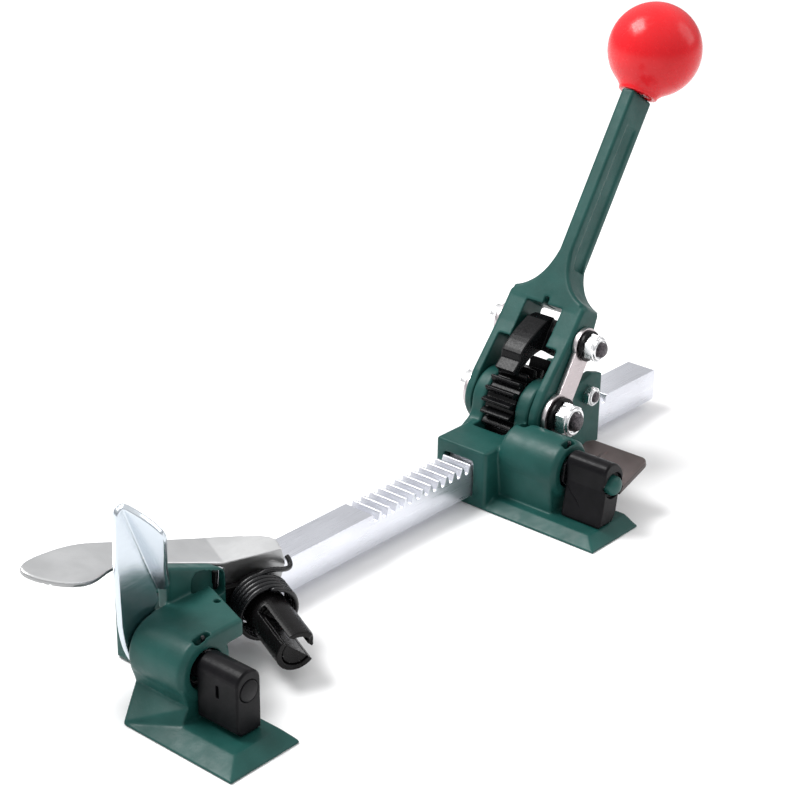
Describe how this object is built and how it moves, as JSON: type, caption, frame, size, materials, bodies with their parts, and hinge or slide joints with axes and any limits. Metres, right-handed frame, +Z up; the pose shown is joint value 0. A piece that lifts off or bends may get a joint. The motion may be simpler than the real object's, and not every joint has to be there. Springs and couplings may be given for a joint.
{
  "type": "strapping tensioner",
  "caption": "Rack-bar hand tool that pulls steel strapping tight: gripper foot, cutter with paddle lever, sliding geared carriage and ratchet handle with a ball knob.",
  "frame": {"origin": "on the bench (z = 0) under the socket that holds the bar, in the middle plane of the bar and 15 mm from the axis of the fixed gripper's shaft", "axes": "+X along the rack bar from the fixed foot to the free end, +Y away from the strap side, +Z up"},
  "size_m": [0.4543, 0.1253, 0.2325],
  "materials": {
    "cast_paint": "satin green paint",
    "bar_steel": "ground bright steel",
    "zinc_sheet": "bright zinc plate",
    "fastener_zinc": "bright zinc plate",
    "gripper_steel": "dark hardened steel",
    "blackened_steel": "blackened steel",
    "spring_steel": "oiled spring steel",
    "red_plastic": "glossy red plastic"
  },
  "bodies": {
    "foot": {"rack_bar": "bar_steel", "foot_casting": "cast_paint", "bar_lock_pin": "blackened_steel", "fixed_gripper_spring": "spring_steel", "cutter_sleeve": "blackened_steel", "cutter_bracket_pin": "blackened_steel"},
    "fixed_gripper": {"fixed_gripper": "gripper_steel", "fixed_gripper_shaft": "gripper_steel", "thumb_lever": "zinc_sheet"},
    "cutter": {"cutter_core": "blackened_steel", "cutter_lever": "zinc_sheet", "cutter_spring": "spring_steel"},
    "carriage": {"carriage_casting": "cast_paint", "gear_bolt": "fastener_zinc", "gear_nut": "fastener_zinc", "gear_washer": "blackened_steel", "holding_bolt": "fastener_zinc", "holding_nut": "fastener_zinc", "carriage_gripper_spring": "spring_steel"},
    "carriage_gripper": {"carriage_gripper": "gripper_steel", "carriage_gripper_pin": "cast_paint", "release_lever": "zinc_sheet"},
    "gear": {"drive_gear": "blackened_steel", "gear_bush": "fastener_zinc"},
    "handle": {"handle_casting": "cast_paint", "handle_stud": "blackened_steel", "ball_knob": "red_plastic", "link_plate_near": "zinc_sheet", "link_plate_far": "zinc_sheet", "pawl_bolt": "fastener_zinc", "pawl_nut": "fastener_zinc", "pawl_washer": "blackened_steel", "drive_pawl_spring": "spring_steel"},
    "drive_pawl": {"drive_pawl": "blackened_steel"},
    "holding_pawl": {"holding_pawl": "blackened_steel"}
  },
  "joints": [
    {"name": "carriage_slide", "type": "slide", "parent": "foot", "child": "carriage", "axis": [1, 0, 0], "range_m": [-0.10681, 0.05655]},
    {"name": "gear_spin", "type": "hinge", "parent": "carriage", "child": "gear", "pos_m": [0.2623, 0, 0.0394], "axis": [0, 1, 0], "range_deg": [-341, 181]},
    {"name": "handle_swing", "type": "hinge", "parent": "carriage", "child": "handle", "pos_m": [0.2623, 0, 0.0394], "axis": [0, 1, 0], "range_deg": [-60, 20]},
    {"name": "drive_pawl_pivot", "type": "hinge", "parent": "handle", "child": "drive_pawl", "pos_m": [0.28358, 0, 0.07268], "axis": [0, 1, 0], "range_deg": [-5, 12]},
    {"name": "holding_pawl_pivot", "type": "hinge", "parent": "carriage", "child": "holding_pawl", "pos_m": [0.305, 0, 0.034], "axis": [0, 1, 0], "range_deg": [-5, 8]},
    {"name": "fixed_gripper_turn", "type": "hinge", "parent": "foot", "child": "fixed_gripper", "pos_m": [-0.015, 0, 0.0263], "axis": [0, 1, 0], "range_deg": [-40, 0]},
    {"name": "carriage_gripper_turn", "type": "hinge", "parent": "carriage", "child": "carriage_gripper", "pos_m": [0.2382, 0, 0.0263], "axis": [0, 1, 0], "range_deg": [0, 20]},
    {"name": "cutter_turn", "type": "hinge", "parent": "foot", "child": "cutter", "pos_m": [0.04715, -0.0181, 0.0227], "axis": [0.3387, 0.9305, 0.1392], "range_deg": [0, 16]}
  ],
  "couplings": [
    {"joint": "gear_spin", "follows": "carriage_slide", "rad_per_m": 55.556}
  ]
}
